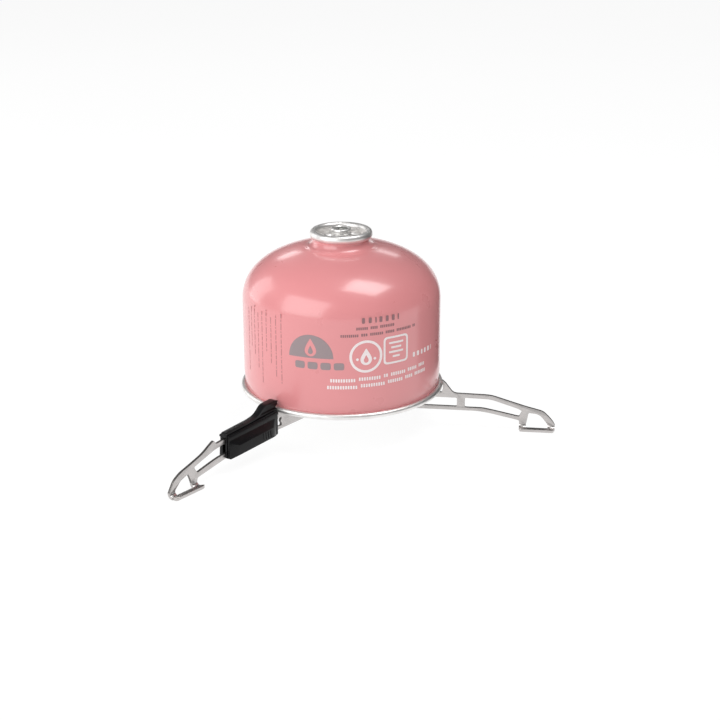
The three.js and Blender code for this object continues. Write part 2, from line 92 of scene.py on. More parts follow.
class NodeSheet:
    """A material's node tree with short calls for the usual nodes."""

    def __init__(self, name: str) -> None:
        """Starts an empty surface.

        Args:
            name: the material's name.
        """
        self.material = bpy.data.materials.new(name)
        self.material.use_nodes = True
        self.tree = self.material.node_tree
        self.tree.nodes.clear()
        self.output = self.tree.nodes.new("ShaderNodeOutputMaterial")
        self.shader = self.tree.nodes.new("ShaderNodeBsdfPrincipled")
        self.link(self.shader.outputs["BSDF"], self.output.inputs["Surface"])
        self.coordinates = self.tree.nodes.new("ShaderNodeTexCoord").outputs["Object"]

    def link(self, source: bpy.types.NodeSocket, target: bpy.types.NodeSocket) -> None:
        """Joins one socket to another."""
        self.tree.links.new(source, target)

    def set(self, **values: object) -> None:
        """Sets the shader's own sockets, by name with spaces as underscores."""
        for key, value in values.items():
            self.shader.inputs[key.replace("_", " ")].default_value = value

    def vector(self, operation: VectorStep, first: bpy.types.NodeSocket,
               second: Sequence[float] | None = None) -> bpy.types.Node:
        """One step of vector arithmetic.

        Args:
            operation: the step.
            first: the vector that goes in.
            second: the fixed vector beside it, if the step has one.

        Returns:
            The node.
        """
        node = self.tree.nodes.new("ShaderNodeVectorMath")
        node.operation = operation.value
        if second is not None:
            node.inputs[1].default_value = second
        self.link(first, node.inputs[0])
        return node

    def place(self, scale: Sequence[float]) -> bpy.types.NodeSocket:
        """Returns the object's coordinates, each axis stretched to its repeats per metre."""
        return self.vector(VectorStep.TIMES, self.coordinates, scale).outputs[0]

    def around(self, centre: Vector, per_turn: float, per_metre: float) -> bpy.types.NodeSocket:
        """Coordinates that run round an upright centre line.

        Args:
            centre: a point on the line.
            per_turn: repeats along one radian round the line.
            per_metre: repeats per metre of radius and height.

        Returns:
            A vector of angle, radius and height.
        """
        shift = self.vector(VectorStep.LESS, self.coordinates, centre)
        parts = self.tree.nodes.new("ShaderNodeSeparateXYZ")
        self.link(shift.outputs[0], parts.inputs[0])
        angle = self.maths(Step.ANGLE, parts.outputs["Y"], parts.outputs["X"])
        flat = self.vector(VectorStep.TIMES, shift.outputs[0], (1, 1, 0))
        length = self.vector(VectorStep.LENGTH, flat.outputs[0])
        joined = self.tree.nodes.new("ShaderNodeCombineXYZ")
        self.link(self.maths(Step.TIMES, angle, per_turn), joined.inputs["X"])
        self.link(self.maths(Step.TIMES, length.outputs["Value"], per_metre), joined.inputs["Y"])
        self.link(self.maths(Step.TIMES, parts.outputs["Z"], per_metre), joined.inputs["Z"])
        return joined.outputs[0]

    def maths(self, operation: Step, first: bpy.types.NodeSocket,
              second: bpy.types.NodeSocket | float) -> bpy.types.NodeSocket:
        """One arithmetic step.

        Args:
            operation: the step.
            first: the value that goes in.
            second: the value beside it, a socket or a number.

        Returns:
            The result.
        """
        node = self.tree.nodes.new("ShaderNodeMath")
        node.operation = operation.value
        self.link(first, node.inputs[0])
        if isinstance(second, bpy.types.NodeSocket):
            self.link(second, node.inputs[1])
        else:
            node.inputs[1].default_value = second
        return node.outputs[0]

    def noise(self, where: bpy.types.NodeSocket, scale: float, detail: float = 3.0,
              roughness: float = 0.55) -> bpy.types.NodeSocket:
        """Cloudy variation.

        Args:
            where: coordinates.
            scale: size of the clouds, larger is finer.
            detail: octaves.
            roughness: strength of the fine octaves.

        Returns:
            A value around one half.
        """
        node = self.tree.nodes.new("ShaderNodeTexNoise")
        node.inputs["Scale"].default_value = scale
        node.inputs["Detail"].default_value = detail
        node.inputs["Roughness"].default_value = roughness
        self.link(where, node.inputs["Vector"])
        return node.outputs[0]

    def spread(self, value: bpy.types.NodeSocket, low: float, high: float, out_low: float,
               out_high: float) -> bpy.types.NodeSocket:
        """Maps one range to another and clamps it.

        Args:
            value: the value that goes in.
            low: the bottom of its range.
            high: the top of its range.
            out_low: what the bottom becomes.
            out_high: what the top becomes.

        Returns:
            The mapped value.
        """
        node = self.tree.nodes.new("ShaderNodeMapRange")
        node.clamp = True
        node.inputs["From Min"].default_value = low
        node.inputs["From Max"].default_value = high
        node.inputs["To Min"].default_value = out_low
        node.inputs["To Max"].default_value = out_high
        self.link(value, node.inputs["Value"])
        return node.outputs["Result"]

    def blend(self, share: bpy.types.NodeSocket, first: object, second: object) -> bpy.types.NodeSocket:
        """Mixes two colours.

        Args:
            share: how much of the second colour shows.
            first: the first colour, a socket or a tuple.
            second: the second colour, a socket or a tuple.

        Returns:
            The mixed colour.
        """
        node = self.tree.nodes.new("ShaderNodeMix")
        node.data_type = "RGBA"
        self.link(share, node.inputs["Factor"])
        for socket, value in ((node.inputs[6], first), (node.inputs[7], second)):
            if isinstance(value, bpy.types.NodeSocket):
                self.link(value, socket)
            else:
                socket.default_value = (*value, 1.0)
        return node.outputs[2]

    def relief(self, height: bpy.types.NodeSocket, distance: float, strength: float = 1.0,
               under: bpy.types.NodeSocket | None = None) -> bpy.types.NodeSocket:
        """Bump from a height.

        Args:
            height: the height value.
            distance: its depth, in metres.
            strength: share of that depth.
            under: a normal that this one lies on.

        Returns:
            The normal.
        """
        node = self.tree.nodes.new("ShaderNodeBump")
        node.inputs["Distance"].default_value = distance
        node.inputs["Strength"].default_value = strength
        self.link(height, node.inputs["Height"])
        if under is not None:
            self.link(under, node.inputs["Normal"])
        return node.outputs["Normal"]

    def surface(self, colour: bpy.types.NodeSocket | None = None,
                roughness: bpy.types.NodeSocket | None = None,
                normal: bpy.types.NodeSocket | None = None) -> bpy.types.Material:
        """Joins the finished colour, roughness and normal.

        Args:
            colour: the colour, if it varies.
            roughness: the roughness, if it varies.
            normal: the normal, if it has relief.

        Returns:
            The material.
        """
        for socket, name in ((colour, "Base Color"), (roughness, "Roughness"), (normal, "Normal")):
            if socket is not None:
                self.link(socket, self.shader.inputs[name])
        return self.material


# ---------------------------------------------------------------- finishes
@dataclass(frozen=True)
class Enamel:
    """Stoved enamel on drawn tinplate, under a clear coat."""

    name: str = "canister_enamel"
    colour: tuple[float, float, float] = (0.755, 0.283, 0.293)
    deep: tuple[float, float, float] = (0.735, 0.27, 0.28)
    scuff: tuple[float, float, float] = (0.76, 0.32, 0.33)
    roughness: float = 0.3

    def material(self) -> bpy.types.Material:
        """Mixes the enamel.

        Returns:
            The material.
        """
        sheet = NodeSheet(self.name)
        sheet.set(Metallic=0.0, Coat_Weight=0.75, Coat_Roughness=0.15, Specular_IOR_Level=0.4)
        plain = sheet.place((1, 1, 1))
        cloud = sheet.noise(plain, 22.0, 3.0)
        body = sheet.blend(sheet.spread(cloud, 0.35, 0.7, 0.0, 1.0), self.colour, self.deep)
        ring = sheet.around(Axis.canister(), 3.0, 260.0)
        drawn = sheet.noise(ring, 1.0, 3.0)
        rub = sheet.noise(sheet.place((900, 900, 240)), 1.0, 4.0, 0.7)
        rubbed = sheet.spread(rub, 0.70, 0.80, 0.0, 0.16)
        colour = sheet.blend(rubbed, body, self.scuff)
        peel = sheet.noise(plain, 900.0, 2.0)
        smear = sheet.noise(plain, 60.0, 4.0)
        rough = sheet.spread(smear, 0.3, 0.7, self.roughness - 0.04, self.roughness + 0.05)
        normal = sheet.relief(peel, 0.000012, 0.6)
        normal = sheet.relief(drawn, 0.00002, 0.5, normal)
        return sheet.surface(colour, rough, normal)


@dataclass(frozen=True)
class TurnedMetal:
    """Bare tinplate, spun and rolled round the canister's centre line."""

    name: str = "bare_tinplate"
    colour: tuple[float, float, float] = (0.86, 0.845, 0.83)
    dull: tuple[float, float, float] = (0.70, 0.685, 0.675)
    roughness: float = 0.42

    def material(self) -> bpy.types.Material:
        """Mixes the tinplate.

        Returns:
            The material.
        """
        sheet = NodeSheet(self.name)
        sheet.set(Metallic=1.0, Specular_IOR_Level=0.5)
        ring = sheet.around(Axis.canister(), 1.2, 9000.0)
        lines = sheet.noise(ring, 1.0, 4.0, 0.6)
        stain = sheet.noise(sheet.place((1, 1, 1)), 160.0, 4.0)
        colour = sheet.blend(sheet.spread(stain, 0.45, 0.75, 0.0, 0.55), self.colour, self.dull)
        rough = sheet.spread(lines, 0.3, 0.7, self.roughness - 0.06, self.roughness + 0.1)
        return sheet.surface(colour, rough, sheet.relief(lines, 0.000006, 0.6))


@dataclass(frozen=True)
class RolledSheet:
    """Stamped stainless sheet with its rolling grain along one way."""

    name: str = "stainless_sheet"
    azimuth: float = 0.0
    colour: tuple[float, float, float] = (0.56, 0.535, 0.525)
    dark: tuple[float, float, float] = (0.46, 0.44, 0.43)
    roughness: float = 0.29

    def material(self) -> bpy.types.Material:
        """Mixes the sheet metal.

        Returns:
            The material.
        """
        sheet = NodeSheet(self.name)
        sheet.set(Metallic=1.0, Specular_IOR_Level=0.5)
        turn = sheet.tree.nodes.new("ShaderNodeVectorRotate")
        turn.rotation_type = "Z_AXIS"
        turn.inputs["Angle"].default_value = -self.azimuth
        sheet.link(sheet.coordinates, turn.inputs["Vector"])
        grain_at = sheet.vector(VectorStep.TIMES, turn.outputs[0], (60, 4000, 4000))
        grain = sheet.noise(grain_at.outputs[0], 1.0, 5.0, 0.65)
        stain = sheet.noise(sheet.place((1, 1, 1)), 130.0, 4.0)
        mark = sheet.noise(sheet.place((150, 1100, 700)), 1.0, 3.0, 0.8)
        scratch = sheet.spread(mark, 0.66, 0.71, 0.0, 0.5)
        colour = sheet.blend(sheet.spread(stain, 0.4, 0.75, 0.0, 0.8), self.colour, self.dark)
        colour = sheet.blend(scratch, colour, (0.78, 0.77, 0.75))
        rough = sheet.spread(grain, 0.3, 0.7, self.roughness - 0.08, self.roughness + 0.12)
        return sheet.surface(colour, rough, sheet.relief(grain, 0.000008, 0.7))


@dataclass(frozen=True)
class PunchedEdge:
    """The sheared edge of stamped sheet: a bright burnished band and a torn one."""

    name: str = "punched_edge"
    colour: tuple[float, float, float] = (0.20, 0.19, 0.185)
    torn: tuple[float, float, float] = (0.12, 0.115, 0.11)
    roughness: float = 0.4

    def material(self) -> bpy.types.Material:
        """Mixes the edge's finish.

        Returns:
            The material.
        """
        sheet = NodeSheet(self.name)
        sheet.set(Metallic=1.0, Specular_IOR_Level=0.5)
        tear = sheet.noise(sheet.place((1500, 1500, 1500)), 1.0, 5.0, 0.7)
        colour = sheet.blend(sheet.spread(tear, 0.45, 0.65, 0.0, 1.0), self.colour, self.torn)
        rough = sheet.spread(tear, 0.3, 0.7, self.roughness - 0.06, self.roughness + 0.14)
        return sheet.surface(colour, rough, sheet.relief(tear, 0.00002, 0.7))


@dataclass(frozen=True)
class MouldedPlastic:
    """Injection-moulded plastic with a spark-eroded grain."""

    name: str
    colour: tuple[float, float, float]
    worn: tuple[float, float, float]
    roughness: float
    gloss: float = 0.5
    grain: float = 2600.0
    depth: float = 0.00003

    def material(self) -> bpy.types.Material:
        """Mixes the plastic.

        Returns:
            The material.
        """
        sheet = NodeSheet(self.name)
        sheet.set(Metallic=0.0, Specular_IOR_Level=self.gloss)
        plain = sheet.place((1, 1, 1))
        erosion = sheet.noise(plain, self.grain, 3.0, 0.6)
        cloud = sheet.noise(plain, 110.0, 4.0)
        polish = sheet.spread(cloud, 0.5, 0.8, 0.0, 0.8)
        colour = sheet.blend(polish, self.colour, self.worn)
        rough = sheet.spread(cloud, 0.3, 0.75, self.roughness + 0.06, self.roughness - 0.06)
        return sheet.surface(colour, rough, sheet.relief(erosion, self.depth, 0.5))


@dataclass(frozen=True)
class PrintedInk:
    """Screen-printed ink, a little thin in places."""

    name: str
    colour: tuple[float, float, float]
    thin: tuple[float, float, float]

    def material(self) -> bpy.types.Material:
        """Mixes the ink.

        Returns:
            The material.
        """
        sheet = NodeSheet(self.name)
        sheet.set(Metallic=0.0, Specular_IOR_Level=0.4)
        plain = sheet.place((1, 1, 1))
        speck = sheet.noise(plain, 1500.0, 3.0, 0.6)
        colour = sheet.blend(sheet.spread(speck, 0.5, 0.75, 0.0, 0.5), self.colour, self.thin)
        rough = sheet.spread(speck, 0.3, 0.7, 0.38, 0.5)
        return sheet.surface(colour, rough, sheet.relief(speck, 0.000006, 0.5))


class FinishShelf:
    """Every finish, mixed once."""

    def __init__(self) -> None:
        """Mixes the finishes."""
        self.enamel = Enamel().material()
        self.tinplate = TurnedMetal().material()
        self.nylon = MouldedPlastic(
            "black_nylon", (0.0045, 0.0045, 0.0052), (0.009, 0.009, 0.0105), 0.3, 0.22).material()
        self.punched = PunchedEdge().material()
        self.acetal = MouldedPlastic(
            "white_acetal", (0.78, 0.77, 0.73), (0.70, 0.69, 0.65), 0.42).material()
        self.rubber = MouldedPlastic(
            "sealing_rubber", (0.02, 0.02, 0.02), (0.035, 0.035, 0.035), 0.7).material()
        self.grey_rubber = MouldedPlastic(
            "grey_rubber", (0.20, 0.20, 0.19), (0.26, 0.26, 0.25), 0.6).material()
        self.spring = RolledSheet(
            "spring_wire", 0.0, (0.55, 0.55, 0.56), (0.35, 0.35, 0.36), 0.3).material()
        self.grey_ink = PrintedInk("grey_ink", (0.31, 0.25, 0.26), (0.40, 0.26, 0.27)).material()
        self.dark_ink = PrintedInk("dark_ink", (0.27, 0.15, 0.16), (0.42, 0.19, 0.20)).material()
        self.side_ink = PrintedInk("side_ink", (0.50, 0.22, 0.225), (0.60, 0.24, 0.25)).material()
        self.white_ink = PrintedInk("white_ink", (0.88, 0.80, 0.80), (0.80, 0.60, 0.61)).material()


# ---------------------------------------------------------------- outlines and meshes
class Outline:
    """Closed outlines with rounded corners."""

    @staticmethod
    def rounded(corners: Sequence[Corner], steps: int = 5) -> list[Vector]:
        """Rounds an outline's corners.

        Args:
            corners: x, y and an optional fillet reach.
            steps: points along each fillet.

        Returns:
            The outline's points.
        """
        points: list[Vector] = []
        count = len(corners)
        for i, corner in enumerate(corners):
            here = Vector(corner[:2])
            before = Vector(corners[i - 1][:2])
            after = Vector(corners[(i + 1) % count][:2])
            reach = corner[2] if len(corner) > 2 else 0.0
            reach = min(reach, (before - here).length * 0.45, (after - here).length * 0.45)
            if reach < 1e-6:
                points.append(here)
                continue
            start = here + (before - here).normalized() * reach
            end = here + (after - here).normalized() * reach
            for k in range(steps + 1):
                t = k / steps
                points.append(start * (1 - t) ** 2 + here * (2 * t * (1 - t)) + end * t * t)
        return points


class Joining(Enum):
    """How solids are put together."""

    ADD = "UNION"
    CUT = "DIFFERENCE"


class Slot(Enum):
    """Finish slots."""

    ENAMEL = "enamel"
    TINPLATE = "tinplate"
    STAINLESS = "stainless"
    NYLON = "black_nylon"
    SPRING = "spring_steel"


class Maker:
    """Turns outlines into meshes and puts them on their bodies."""

    @staticmethod
    def shown(name: str, mesh: bpy.types.Mesh, finish: bpy.types.Material, slot: Slot,
              replaces: Iterable[str], smooth_deg: float) -> bpy.types.Object:
        """Adds a finished object that isn't on a body yet.

        Args:
            name: the piece's name.
            mesh: its mesh, in the row frame.
            finish: its material.
            slot: not used.
            replaces: the CAD nodes that it stands for.
            smooth_deg: edges under this angle are shaded smooth.

        Returns:
            The object.
        """
        piece = bpy.data.objects.new(name, mesh)
        bpy.context.scene.collection.objects.link(piece)
        mesh.materials.clear()
        mesh.materials.append(finish)
        mesh.shade_smooth()
        mesh.set_sharp_from_angle(angle=math.radians(smooth_deg))
        nodes = tuple(replaces)
        if nodes:
            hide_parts(*nodes)
        return piece

    @staticmethod
    def piece(name: str, mesh: bpy.types.Mesh, finish: bpy.types.Material, body: str, slot: Slot,
              replaces: Iterable[str] = (), smooth_deg: float = 40.0) -> None:
        """Adds a finished piece to its body.

        Args:
            name: the piece's name.
            mesh: its mesh, in the row frame.
            finish: its material.
            body: the CAD body that it rides on.
            slot: handed on to Maker.shown, which does not use it.
            replaces: the CAD nodes that it stands for.
            smooth_deg: edges under this angle are shaded smooth.
        """
        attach(Maker.shown(name, mesh, finish, slot, replaces, smooth_deg), body)
        LOG.info("%s: %d faces on %s", name, len(mesh.polygons), body)

    @staticmethod
    def tube(name: str, line: Sequence[Vector], radius: float, sides: int = 10) -> bpy.types.Mesh:
        """Draws a round wire along a line round the canister's centre line.

        Args:
            name: the mesh's name.
            line: the wire's middle, in millimetres from the canister's centre line.
            radius: the wire's radius.
            sides: points round the wire.

        Returns:
            The mesh, in the row frame.
        """
        work = bmesh.new()
        centre = Axis.canister()
        rings = []
        for k, middle in enumerate(line):
            along = (line[min(k + 1, len(line) - 1)] - line[max(k - 1, 0)]).normalized()
            out = Vector((middle.x, middle.y, 0)).normalized()
            up = along.cross(out).normalized()
            ring = []
            for side in range(sides):
                angle = 2 * math.pi * side / sides
                place = middle + (out * math.cos(angle) + up * math.sin(angle)) * radius
                ring.append(work.verts.new(centre + place * MM))
            rings.append(ring)
        for one, two in zip(rings, rings[1:]):
            for side in range(sides):
                nxt = (side + 1) % sides
                work.faces.new((one[side], one[nxt], two[nxt], two[side]))
        work.faces.new(rings[0])
        work.faces.new(rings[-1])
        return Maker.from_bmesh(name, work)

    @staticmethod
    def from_bmesh(name: str, work: bmesh.types.BMesh) -> bpy.types.Mesh:
        """Closes a working mesh.

        Args:
            name: the mesh's name.
            work: the working mesh, which is freed.

        Returns:
            The finished mesh, with its faces pointing out.
        """
        bmesh.ops.recalc_face_normals(work, faces=work.faces)
        mesh = bpy.data.meshes.new(name)
        work.to_mesh(mesh)
        work.free()
        return mesh

    @staticmethod
    def turned(name: str, profile: Sequence[Point], facets: int = 160,
               shape: Callable[[float, float, float], Point] | None = None,
               closed: bool = True) -> bpy.types.Mesh:
        """Spins a profile round the canister's centre line.

        Args:
            name: the mesh's name.
            profile: radius and height pairs in millimetres.
            facets: facets round the line.
            shape: changes radius and height by angle.
            closed: the profile closes on itself; otherwise it ends on the line.

        Returns:
            The turned mesh.
        """
        centre = Axis.canister()
        work = bmesh.new()
        rings: list[list[bmesh.types.BMVert]] = []
        for radius, height in profile:
            if radius < 1e-6:
                rings.append([work.verts.new(centre + Vector((0, 0, height * MM)))])
                continue
            ring = []
            for k in range(facets):
                angle = 2 * math.pi * k / facets
                r, z = shape(radius, height, angle) if shape else (radius, height)
                offset = Vector((r * math.cos(angle), r * math.sin(angle), z)) * MM
                ring.append(work.verts.new(centre + offset))
            rings.append(ring)
        last = len(rings) if closed else len(rings) - 1
        for i in range(last):
            lower, upper = rings[i], rings[(i + 1) % len(rings)]
            for k in range(facets):
                n = (k + 1) % facets
                if len(lower) == 1 and len(upper) == 1:
                    continue
                if len(lower) == 1:
                    work.faces.new((lower[0], upper[n], upper[k]))
                elif len(upper) == 1:
                    work.faces.new((lower[k], lower[n], upper[0]))
                else:
                    work.faces.new((lower[k], lower[n], upper[n], upper[k]))
        return Maker.from_bmesh(name, work)

    @staticmethod
    def combined(base: bpy.types.Mesh, tools: Sequence[bpy.types.Mesh], how: Joining) -> bpy.types.Mesh:
        """Joins solids to a base solid or cuts them from it.

        Args:
            base: the solid to start from.
            tools: the solids to join or cut.
            how: whether they are added or cut away.

        Returns:
            The resulting mesh.
        """
        body = bpy.data.objects.new("base", base.copy())
        extras = [bpy.data.objects.new("tool", tool) for tool in tools]
        for thing in (body, *extras):
            bpy.context.scene.collection.objects.link(thing)
        for extra in extras:
            cut = body.modifiers.new("cut", "BOOLEAN")
            cut.operation = how.value
            cut.solver = "EXACT"
            cut.object = extra
        graph = bpy.context.evaluated_depsgraph_get()
        mesh = bpy.data.meshes.new_from_object(body.evaluated_get(graph))
        for thing in (body, *extras):
            bpy.data.objects.remove(thing)
        return mesh

    @staticmethod
    def eased(name: str, mesh: bpy.types.Mesh, reach: float, segments: int = 2,
              limit_deg: float = 32.0) -> bpy.types.Mesh:
        """Rounds the sharp edges of a mesh.

        Args:
            name: the mesh's new name.
            mesh: the mesh.
            reach: how far each edge is cut back, in metres.
            segments: facets across each rounded edge.
            limit_deg: edges sharper than this are rounded.

        Returns:
            The rounded mesh.
        """
        mesh.name = name
        work = bmesh.new()
        work.from_mesh(mesh)
        bmesh.ops.remove_doubles(work, verts=work.verts, dist=1e-6)
        bmesh.ops.dissolve_limit(work, angle_limit=math.radians(0.8), verts=work.verts, edges=work.edges)
        sharp = [e for e in work.edges if e.is_manifold and e.calc_face_angle(0) > math.radians(limit_deg)]
        bmesh.ops.bevel(work, geom=sharp, offset=reach, segments=segments, profile=0.5,
                        affect="EDGES", clamp_overlap=True)
        work.to_mesh(mesh)
        work.free()
        return mesh


def arc(centre: Point, radius: float, start: float, end: float, steps: int) -> list[Point]:
    """Points along an arc.

    Args:
        centre: its centre.
        radius: its radius.
        start: its first angle, in degrees.
        end: its last angle, in degrees.
        steps: how many chords it has.

    Returns:
        The points, both ends among them.
    """
    points = []
    for k in range(steps + 1):
        angle = math.radians(start + (end - start) * k / steps)
        points.append((centre[0] + radius * math.cos(angle), centre[1] + radius * math.sin(angle)))
    return points


# ---------------------------------------------------------------- canister
@dataclass
class Canister:
    """Enamelled body, rolled bottom end and screw valve, all sizes in millimetres."""

    body_r: float = 54.0
    chime_r: float = 55.8
    chime_z: float = 22.5
    chime_h: float = 3.2
    dome_start: float = 71.3
    dome_rise: float = 31.1
    dome_run: float = 55.8
    dome_power: float = 2.3
    dome_end: float = 0.3952
    tuck: float = 0.75
    wall: float = 0.5
    neck_r: float = 15.5
    fillet: float = 4.3
    fillet_z: float = 105.19
    fillet_start: float = 260.6
    curl: Point = (15.1, 107.65)
    curl_r: float = 1.85
    curl_stretch: float = 1.24
    cup_sheet: float = 0.45
    well_z: float = 103.2
    pedestal_r: float = 5.55
    pedestal_top: float = 110.8
    pitch: float = 0.907
    thread_depth: float = 0.38
    coil_r: float = 2.1
    coil_wire_r: float = 0.28
    coil_z: Point = (98.18, 107.07)
    coil_turns: int = 6
    coil_steps: int = 32
    coil_end_pitch: float = 0.62

    def dome(self, inset: float, steps: int) -> list[Point]:
        """Follows the dome from the body up to the neck's fillet.

        Args:
            inset: how far inside the outer face.
            steps: how many chords it has.

        Returns:
            Radius and height pairs.
        """
        points = []
        centre = self.body_r - self.dome_run
        for k in range(steps + 1):
            angle = k / steps * math.pi * self.dome_end
            power = 2 / self.dome_power
            r = centre + (self.dome_run - inset) * math.cos(angle) ** power
            z = self.dome_start + (self.dome_rise - inset) * math.sin(angle) ** power
            points.append((r, z))
        return points

    def shell(self) -> bpy.types.Mesh:
        """Turns the drawn body and dome, open at both ends.

        Returns:
            The mesh.
        """
        step_in = self.body_r - self.tuck
        top = self.curl[1] - 0.3
        bend = (self.neck_r + self.fillet, self.fillet_z)
        outside: list[Corner] = [
            (step_in, self.chime_z - 0.7),
            (step_in, self.chime_z + 2.6, 1.0),
            (self.body_r - 0.3, self.chime_z + 5.0, 1.4),
            (self.body_r, self.chime_z + 8.5, 2.0),
            *self.dome(0, 56),
            *arc(bend, self.fillet, self.fillet_start, 180, 14),
            (self.neck_r, top),
        ]
        inside: list[Corner] = [
            (self.neck_r - self.wall, top),
            *arc(bend, self.fillet + self.wall, 180, self.fillet_start, 8),
            *reversed(self.dome(self.wall, 24)),
            (self.body_r - self.wall, self.chime_z + 8.5, 1.0),
            (step_in - self.wall, self.chime_z + 2.6, 0.8),
            (step_in - self.wall, self.chime_z - 0.7),
        ]
        profile = [(p.x, p.y) for p in Outline.rounded([*outside, *inside], 4)]
        return Maker.turned("canister_skin", profile, 220)

    def bottom(self) -> bpy.types.Mesh:
        """Turns the concave end with its rim rolled over the body.

        Returns:
            The mesh.
        """
        floor = self.chime_z - self.chime_h / 2
        step_in = self.body_r - self.tuck
        gap = 0.3
        top = self.chime_z + self.chime_h / 2
        under: list[Corner] = [
            (0.0, 34.0),
            (13.0, 33.4, 3), (15.0, 32.5, 1.0), (20.0, 32.2, 3), (30.5, 30.2, 3),
            (32.0, 29.1, 0.8), (40.0, 26.9, 3), (48.2, 23.6, 1.5), (50.6, 23.4, 1.0),
        ]
        seam: list[Corner] = [
            (51.7, 24.2, 0.5), (52.0, floor + 0.6, 0.6), (52.6, floor, 0.5),
            (self.chime_r - 1.1, floor, 0.8),
            (self.chime_r, floor + 1.0, 0.9), (self.chime_r, self.chime_z + 0.7, 0.9),
            (self.chime_r - 0.9, top, 0.7), (step_in + 0.5, top, 0.3), (step_in + 0.06, top - 0.35, 0.15),
            (step_in + 0.06, self.chime_z + 1.3), (step_in + gap, self.chime_z + 1.25),
            (step_in + gap, self.chime_z - 1.0),
            (step_in - self.wall - gap, self.chime_z - 1.0),
            (step_in - self.wall - gap, 25.0, 0.4),
            (51.3, 24.6, 0.5),
        ]
        over = [(r, z + self.wall, *rest) for r, z, *rest in reversed(under[1:])]
        line = Outline.rounded([*under, *seam, *over, (0.0, 34.0 + self.wall)], 5)
        return Maker.turned("rolled_bottom", [(max(p.x, 0.0), p.y) for p in line], 200, closed=False)

    def thread(self, radius: float, height: float, angle: float) -> Point:
        """Cuts the helical thread into the pedestal and crimps the cup's floor.

        Args:
            radius: the plain radius.
            height: the height.
            angle: the angle round the centre line.

        Returns:
            The cut radius and the height.
        """
        low = self.well_z + 2.1
        high = self.pedestal_top - 1.7
        outer = radius > self.pedestal_r - 0.02
        if outer and radius < self.pedestal_r + 0.02 and low < height < high:
            phase = (height / self.pitch - angle / (2 * math.pi)) % 1.0
            fade = min(1.0, (height - low) / 0.5, (high - height) / 0.5)
            groove = 0.5 - 0.5 * math.cos(2 * math.pi * phase)
            return radius - self.thread_depth * fade * groove, height
        if 6.2 < radius < 9.6 and height < self.well_z + 0.3:
            wave = max(0.0, math.cos(8 * angle)) ** 2 * math.sin(math.pi * (radius - 6.2) / 3.4)
            return radius, height + 0.28 * wave
        return radius, height

    def stretched(self, line: Iterable[Point]) -> list[Point]:
        """Returns the curl's line, made a little taller than round."""
        return [(r, self.curl[1] + (z - self.curl[1]) * self.curl_stretch) for r, z in line]

    def cup(self) -> bpy.types.Mesh:
        """Turns the mounting cup with its curl, well and pedestal.

        Returns:
            The mesh.
        """
        sheet = self.cup_sheet
        tube = self.curl_r - sheet
        wall_r = self.curl[0] - self.curl_r
        pole = self.pedestal_r
        top = self.pedestal_top
        outside: list[Corner] = [
            *self.stretched(arc(self.curl, self.curl_r, -52, 180, 24)),
            (wall_r, self.well_z + 1.6, 0.4), (wall_r - 0.4, self.well_z + 0.5, 0.5),
            (wall_r - 1.6, self.well_z, 0.6),
            *[(wall_r - 1.6 - 0.4 * k, self.well_z) for k in range(1, 12)],
            (pole + 0.6, self.well_z, 0.5), (pole, self.well_z + 0.9, 0.4),
            *[(pole, self.well_z + 1.6 + 0.1 * k) for k in range(0, 45)],
            (pole, top - 0.8, 0.4), (pole - 0.3, top, 0.5), (pole - 1.2, top, 0.4),
            (pole - 1.6, top - 0.5, 0.3),
            (2.9, top - 0.75, 0.3), (2.0, top - 0.75, 0.15),
        ]
        inside: list[Corner] = [
            (2.0, top - 0.75 - sheet), (pole - 1.7, top - 0.75 - sheet, 0.3),
            (pole - 0.9, top - sheet - 0.2, 0.3),
            (pole - 0.8, self.well_z + 1, 0.5),
            (pole + 0.2, self.well_z - sheet, 0.3), (wall_r - 1.4, self.well_z - sheet, 0.5),
            (wall_r + sheet - 0.1, self.well_z + 1.2, 0.5),
            *self.stretched(arc(self.curl, tube, -180, -412, 16)),
        ]
        line = Outline.rounded([*outside, *inside], 3)
        return Maker.turned("mounting_cup", [(p.x, p.y) for p in line], 180, self.thread)

    def spring(self, shelf: FinishShelf) -> None:
        """Winds the valve's spring as a fixed coil, its end turns closer than the middle ones.

        Args:
            shelf: the finishes.
        """
        low, high = self.coil_z
        line = []
        for k in range(self.coil_turns * self.coil_steps + 1):
            turn = k / self.coil_steps
            start = self.coil_end_pitch * min(turn, 1.0)
            end = self.coil_end_pitch * max(turn - self.coil_turns + 1, 0.0)
            middle = min(max((turn - 1) / (self.coil_turns - 2), 0.0), 1.0)
            z = low + start + end + middle * (high - low - 2 * self.coil_end_pitch)
            angle = 2 * math.pi * turn
            line.append(Vector((self.coil_r * math.cos(angle), self.coil_r * math.sin(angle), z)))
        wire = Maker.tube("valve_coil", line, self.coil_wire_r)
        coil = Maker.shown("valve_coil", wire, shelf.spring, Slot.SPRING, ["valve_spring"], 40.0)
        foot, head = (Axis.canister() + Vector((0, 0, z)) * MM for z in (low, high))
        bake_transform(coil)
        LOG.info("valve_coil: %d faces, from the stand's body to the stem", len(wire.polygons))

    def build(self, shelf: FinishShelf) -> None:
        """Builds and dresses the canister.

        Args:
            shelf: the finishes.
        """
        for name, mesh, finish, slot, node in (
            ("canister_skin", self.shell(), shelf.enamel, Slot.ENAMEL, "canister_shell"),
            ("rolled_bottom", self.bottom(), shelf.tinplate, Slot.TINPLATE, "bottom_end"),
            ("mounting_cup", self.cup(), shelf.tinplate, Slot.TINPLATE, "valve_cup"),
        ):
            Maker.piece(name, mesh, finish, STAND_BODY, slot, [node])
        dress("seam_compound", shelf.rubber)
        dress("cup_gasket", shelf.rubber)
        dress("stem_gasket", shelf.grey_rubber)
        dress("valve_housing", shelf.acetal)
        dress("valve_stem", shelf.acetal)
        self.spring(shelf)


